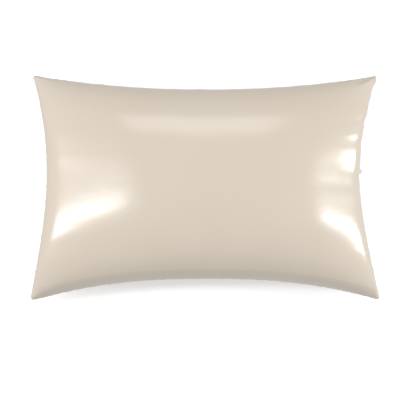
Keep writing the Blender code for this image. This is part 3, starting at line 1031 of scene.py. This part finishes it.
@dataclass(frozen=True)
class Cover:
    """The satin case: its front and back panels."""

    form: Form
    lines: Lines = field(default_factory=Lines)
    thickness: float = 0.0012
    front_gap: Gap = Gap(0.032, 0.030)
    back_gap: Gap = Gap(0.012, 0.012)
    lip_lift: float = 0.0055
    crumple_height: float = 0.0012
    crumple_lengths: tuple[float, float] = (0.047, 0.026)
    flat: tuple[float, float] = (0.508, 0.762)

    def grid(self) -> tuple[Array, Array]:
        """The sheet's grid: share along before pack(), and the coordinate across."""
        along = self.lines.even(self.lines.along_count, self.form.wall_rate)
        across = self.form.pack(self.lines.even(self.lines.across_count, self.form.wall_rate))
        share, placed = np.meshgrid(along, across, indexing="ij")
        return share, placed

    def cloth_uv(self, points: Array) -> Array:
        """UVs in metres: arc length along each middle line of the sheet, carried across the grid.

        Args:
            points: grid of points of the panel.

        Returns:
            Grid of UVs.
        """
        middle_i, middle_j = points.shape[0] // 2, points.shape[1] // 2
        steps_u = np.linalg.norm(np.diff(points[:, middle_j], axis=0), axis=-1)
        steps_v = np.linalg.norm(np.diff(points[middle_i], axis=0), axis=-1)
        u = np.concatenate([[0], np.cumsum(steps_u)])
        v = np.concatenate([[0], np.cumsum(steps_v)])
        return np.stack(np.meshgrid(u, v, indexing="ij"), axis=-1)

    def lip_waves(self, share: Array, across: Array, gap: Gap) -> Array:
        """Soft crumples of the front panel's loose edge: slow waves that grow towards the lip.

        Args:
            share: sheet coordinate along the case, before pack().
            across: sheet coordinate across it.
            gap: the panel's gap.

        Returns:
            Distances outwards along X, in metres.
        """
        place = self.form.outline.place_across(across)
        opened = self.form.parted(place, gap) / gap.width
        reach = self.form.near_zip(share) ** 3
        long, short = self.crumple_lengths
        waves = self.form.wave(place, long, 0.9) + 0.6 * self.form.wave(place, short, 2.0)
        return self.crumple_height * reach * np.clip(opened, 0, 1) * (waves + 0.8)

    def panel(self, name: str, face: Face, gap: Gap, lift: float) -> bpy.types.Object:
        """Builds one panel.

        Args:
            name: the piece's name.
            face: which side of the form it lies on.
            gap: how far its edge parts at the zip.
            lift: how far its loose edge stands off.

        Returns:
            The panel.
        """
        share, across = self.grid()
        outer = self.form.cloth(share, across, 0.0, face, gap, lift)
        inner = self.form.cloth(share, across, self.thickness, face, gap, lift)
        if face is Face.FRONT:
            waves = self.lip_waves(share, across, gap)
            outer[..., 0] += waves
            inner[..., 0] += waves
        ends, sides = self.form.seam_distances(share, across)
        distance = np.minimum(ends, sides)
        return GridMesh.shell(name, outer, inner, self.cloth_uv(outer), distance, face)

    def build(self, finish: SatinFinish, pillow: bpy.types.Object) -> None:
        """Builds and dresses both panels.

        Args:
            finish: the satin.
            pillow: what the panels are stretched over; not used.
        """
        satin = finish.material()
        for name, face, gap, lift in (
            ("front_panel", Face.FRONT, self.front_gap, self.lip_lift),
            ("back_panel", Face.BACK, self.back_gap, 0.0),
        ):
            panel = dress(self.panel("satin_" + name, face, gap, lift), satin)
            settle(panel, name)


@dataclass(frozen=True)
class Pillow:
    """The white pillow inside, which shows through the open zip."""

    cover: Cover
    depth: float = 0.0030
    recess: float = 0.0050
    lines: Lines = Lines(along_count=130, across_count=96)

    def build(self, finish: CottonFinish) -> bpy.types.Object:
        """Builds and dresses the pillow: the form at its own depth, one closed solid.

        Args:
            finish: its cotton.

        Returns:
            The pillow.
        """
        form = self.cover.form
        along = self.lines.even(self.lines.along_count, form.wall_rate)
        across = form.pack(self.lines.even(self.lines.across_count, form.wall_rate))
        share, placed = np.meshgrid(along, across, indexing="ij")
        upper, lower = (form.cloth(share, placed, self.depth, face, None, -self.recess) for face in Face)
        rim = np.ones(share.shape, bool)
        rim[1:-1, 1:-1] = False
        middle = (upper + lower) / 2
        upper[rim] = middle[rim]
        ends, sides = form.seam_distances(share, placed)
        uv = self.cover.cloth_uv(upper)
        pillow = GridMesh.filled("cotton_pillow", upper, lower, uv, np.minimum(ends, sides))
        dress(pillow, finish.material())
        settle(pillow, "pillow_insert")
        return pillow


@dataclass(frozen=True)
class Zip:
    """The zip's two tapes with their halves of the coil, the slider, its ring and its pull."""

    cover: Cover
    depth: float = 0.0016
    thickness: float = 0.0008
    covered: float = 0.045
    shown: float = 0.013
    columns: int = 12
    rows: int = 260
    coil_radius: float = 0.00062
    wire_radius: float = 0.00021
    pitch: float = 0.00125
    pattern_width: float = 0.013
    coil_start: float = 0.005
    coil_end: float = 0.006

    def rows_across(self) -> Array:
        """Sheet coordinates across the case of the tapes' rows, even in distance along the zip."""
        form = self.cover.form
        line = np.linspace(-1, 1, 2001)
        places = np.linspace(form.zip_start, form.zip_end, self.rows)
        return np.interp(places, form.outline.place_across(line), line)

    def tape_layer(self, face: Face, gap: Gap, lift: float, depth: float) -> Array:
        """Grid of points of one face of a tape, from under its panel to past the panel's edge.

        Args:
            face: which panel it is sewn to.
            gap: that panel's gap.
            lift: how far that panel's edge stands off.
            depth: metres below the outer face.

        Returns:
            Points [column, row, xyz].
        """
        form = self.cover.form
        across = self.rows_across()
        opened = form.parted(form.outline.place_across(across), gap) / form.wall_rate
        reach = self.covered + np.minimum(opened, self.shown)
        steps = np.linspace(0, 1, self.columns)[:, None]
        share = 1 - self.covered + steps * reach
        placed = np.broadcast_to(across, share.shape)
        layer = form.cloth(share, placed, depth, face, gap, lift)
        if face is Face.FRONT:
            layer[..., 0] += self.cover.lip_waves(share, placed, gap)
        return layer

    def coil(self, name: str, edge: Array, outward: Array) -> bpy.types.Object:
        """Half of the zip's coil: a helix round the tape's edge, swept with a thin wire.

        Args:
            name: the piece's name.
            edge: points along the tape's edge.
            outward: unit normals of the tape there.

        Returns:
            The coil.
        """
        arc = np.concatenate([[0], np.cumsum(np.linalg.norm(np.diff(edge, axis=0), axis=-1))])
        turns = arc[-1] / self.pitch
        fine = np.linspace(0, arc[-1], int(turns * 10))
        centre = np.stack([np.interp(fine, arc, edge[:, k]) for k in range(3)], axis=-1)
        normal = np.stack([np.interp(fine, arc, outward[:, k]) for k in range(3)], axis=-1)
        tangent = np.gradient(centre, axis=0)
        tangent /= np.linalg.norm(tangent, axis=-1, keepdims=True)
        side = np.cross(tangent, normal)
        side /= np.linalg.norm(side, axis=-1, keepdims=True)
        angle = (fine / self.pitch * 2 * math.pi)[:, None]
        radial = np.cos(angle) * np.cross(side, tangent) + np.sin(angle) * side
        helix = centre + self.coil_radius * radial
        along = np.gradient(helix, axis=0)
        along /= np.linalg.norm(along, axis=-1, keepdims=True)
        third = np.cross(along, radial)
        around = np.linspace(0, 2 * math.pi, 6)[:-1]
        out, back = np.cos(around)[None, :, None], np.sin(around)[None, :, None]
        ring = out * radial[:, None] + back * third[:, None]
        return GridMesh.tube(name, helix[:, None] + self.wire_radius * ring)

    def build(self, tape: TapeFinish, coil: CoilFinish, metal: NickelFinish, enamel: EnamelFinish) -> None:
        """Builds and dresses the zip.

        Args:
            tape: the tapes' cloth.
            coil: the coil's nylon.
            metal: the slider's and the ring's plating.
            enamel: the pull's enamel.
        """
        cream, nylon = tape.material(), coil.material()
        form = self.cover.form
        for word, face, gap, lift in (
            ("front", Face.FRONT, self.cover.front_gap, self.cover.lip_lift),
            ("back", Face.BACK, self.cover.back_gap, 0.0),
        ):
            outer = self.tape_layer(face, gap, lift, self.depth)
            inner = self.tape_layer(face, gap, lift, self.depth + self.thickness)
            length = np.cumsum(np.linalg.norm(np.diff(outer[0], axis=0), axis=-1))
            width = np.linspace(0, self.pattern_width, self.columns)
            uv = np.stack(np.meshgrid(width, np.concatenate([[0], length]), indexing="ij"), axis=-1)
            piece = GridMesh.shell(f"tape_{word}", outer, inner, uv, np.zeros(uv.shape[:2]), face)
            dress(piece, cream)
            settle(piece, f"zip_tape_{word}")
            across = self.rows_across()
            place = form.outline.place_across(across)
            past_slider = place > form.slider_place + self.coil_start
            open_rows = past_slider & (place < form.zip_end - self.coil_end)
            edge = (outer[-1] + inner[-1])[open_rows] / 2
            outward = form.normal(np.full(open_rows.sum(), 0.99), across[open_rows], face)
            spiral = dress(self.coil(f"coil_{word}", edge, outward), nylon)
            settle(spiral, None)
        plate, white = metal.material(), enamel.material()
        for node, finish in (("zip_slider", plate), ("zip_ring", plate), ("zip_pull", white)):
            dress(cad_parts[node], finish)
            LOG.info("%s keeps its own shape", node)


# ------------------------------------------------------------------ studio
@dataclass(frozen=True)
class SoftBox:
    """A rectangular light with its place, its aim, its size level and upright, and its watts."""

    name: str
    place: Rgb
    aim: Rgb
    width: float
    length: float
    power: float
    colour: Rgb = (1.0, 1.0, 1.0)

    def build(self) -> None:
        """Hangs the light."""
        lamp = bpy.data.lights.new(self.name, "AREA")
        lamp.shape = "RECTANGLE"
        lamp.size, lamp.size_y = self.width, self.length
        lamp.energy = self.power
        lamp.color = self.colour
        made = bpy.data.objects.new(self.name, lamp)
        made.location = self.place
        ray = Vector(self.aim) - Vector(self.place)
        made.rotation_euler = ray.to_track_quat("-Z", "Y").to_euler()
        made.visible_camera = False
        bpy.context.scene.collection.objects.link(made)


@dataclass(frozen=True)
class Studio:
    """White floor, soft light and the camera."""

    ambient: float = 0.66
    elevation: float = 84.0
    distance: float = 3.5
    focal: float = 150.0
    aim: Rgb = (-0.011, -0.030, 0.075)
    floor_reach: float = 4.0
    floor_drop: float = 0.0004
    boxes: tuple[SoftBox, ...] = (
        SoftBox("left_strip", (-1.78, 0.0, 1.50), (-0.25, 0.0, 0.15), 0.28, 2.6, 32.0),
        SoftBox("right_strip", (2.00, 0.0, 0.80), (0.30, 0.0, 0.15), 0.25, 2.2, 30.0),
        SoftBox("key", (0.0, 1.70, 2.10), (0.0, 0.0, 0.0), 1.4, 0.9, 7.0),
    )

    def floor(self, finish: FloorFinish) -> None:
        """Lays the floor: a wide level grid just under the case."""
        lines = np.linspace(-self.floor_reach, self.floor_reach, 9)
        x, y = np.meshgrid(lines, lines, indexing="ij")
        points = np.stack([x, y, np.full_like(x, -self.floor_drop)], axis=-1)
        index = np.arange(x.size).reshape(x.shape)
        uv = np.stack([x, y], axis=-1).reshape(-1, 2)
        floor = GridMesh.make("floor", points.reshape(-1, 3), GridMesh.quads(index), uv)
        dress(floor, finish.material())
        floor.visible_diffuse = False
        floor.visible_glossy = False

    def camera(self) -> None:
        """Sets up the camera, looking down along +Y from its elevation."""
        turn = math.radians(self.elevation)
        back = Vector((0.0, -math.cos(turn), math.sin(turn)))
        lens = bpy.data.cameras.new("camera")
        lens.lens = self.focal
        lens.sensor_width = 36.0
        lens.clip_end = 50.0
        made = bpy.data.objects.new("camera", lens)
        made.location = Vector(self.aim) + back * self.distance
        made.rotation_euler = (-back).to_track_quat("-Z", "Y").to_euler()
        bpy.context.scene.collection.objects.link(made)
        bpy.context.scene.camera = made

    def build(self, finish: FloorFinish) -> None:
        """Builds the whole studio."""
        world = bpy.data.worlds.new("studio")
        world.use_nodes = True
        world.node_tree.nodes["Background"].inputs["Strength"].default_value = self.ambient
        world.node_tree.nodes["Background"].inputs["Color"].default_value = (1.0, 1.0, 1.0, 1.0)
        bpy.context.scene.world = world
        bpy.context.scene.view_settings.view_transform = "Standard"
        for box in self.boxes:
            box.build()
        self.floor(finish)
        self.camera()


CREASES = (
    Crease("back_right", 27.0, 0.012, 0.055, 0.000, 0.0022, 0.0040, 0.0022, 0.0060, 0.0095),
    Crease("front_right", 72.0, 0.014, 0.050, 0.002, 0.0016, 0.0030, 0.0014, 0.0045, -0.0070),
    Crease("front_left", 20.0, 0.012, 0.060, 0.000, 0.0010, 0.0030, 0.0006, 0.0040, 0.0070),
    Crease("back_left", 17.0, 0.010, 0.060, 0.000, 0.0012, 0.0030, 0.0008, 0.0040, 0.0070),
)


def main() -> None:
    """Builds the studio, the pillow, its case and the zip, and logs the face counts of the pieces it builds.
    """
    logging.basicConfig(level=logging.INFO, format="%(name)s: %(message)s")
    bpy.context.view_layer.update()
    Studio().build(FloorFinish())
    form = Form(creases=CREASES)
    cover = Cover(form)
    pillow = Pillow(cover).build(CottonFinish())
    cover.build(SatinFinish(), pillow)
    Zip(cover).build(TapeFinish(), CoilFinish(), NickelFinish(), EnamelFinish())


if __name__ == "__main__":
    main()
